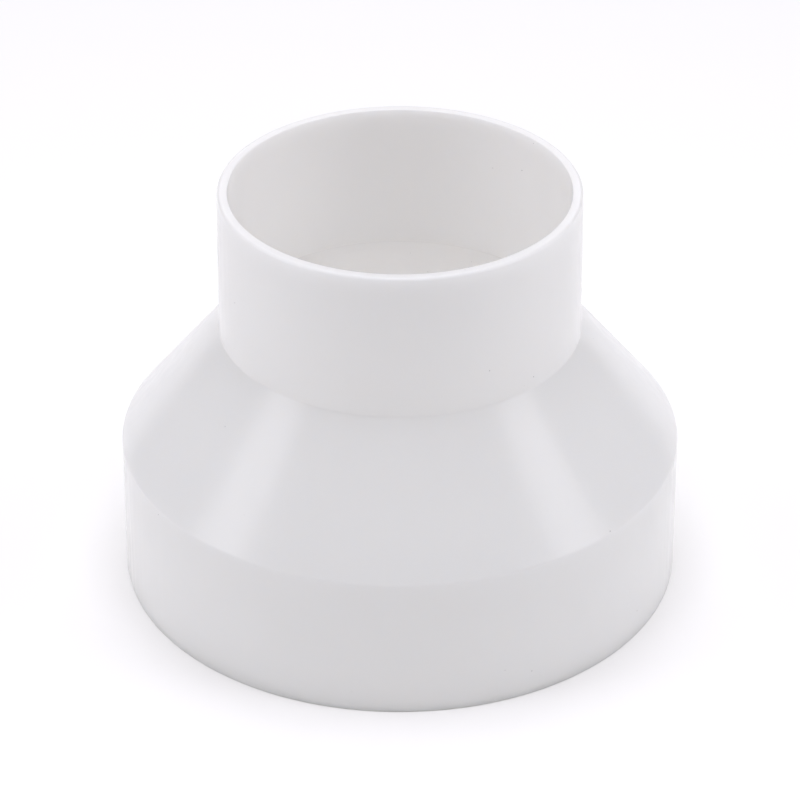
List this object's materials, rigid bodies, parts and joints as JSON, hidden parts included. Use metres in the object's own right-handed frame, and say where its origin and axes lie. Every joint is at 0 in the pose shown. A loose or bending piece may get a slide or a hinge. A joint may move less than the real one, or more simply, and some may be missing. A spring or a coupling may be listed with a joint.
{
  "type": "pipe reducer",
  "caption": "White plastic pipe reducer: a small plain socket, a straight cone and a large plain socket in one open moulding.",
  "frame": {"origin": "centre of the large mouth's rim, on the plane that the fitting stands on", "axes": "+Z along the common axis of both sockets, from the large mouth to the small one; the fitting is round, so +X and +Y have no preferred direction"},
  "size_m": [0.168, 0.168, 0.1257],
  "materials": {
    "white_pvc": "semi-gloss moulded"
  },
  "bodies": {
    "root": {"reducer_body": "white_pvc"}
  },
  "joints": []
}
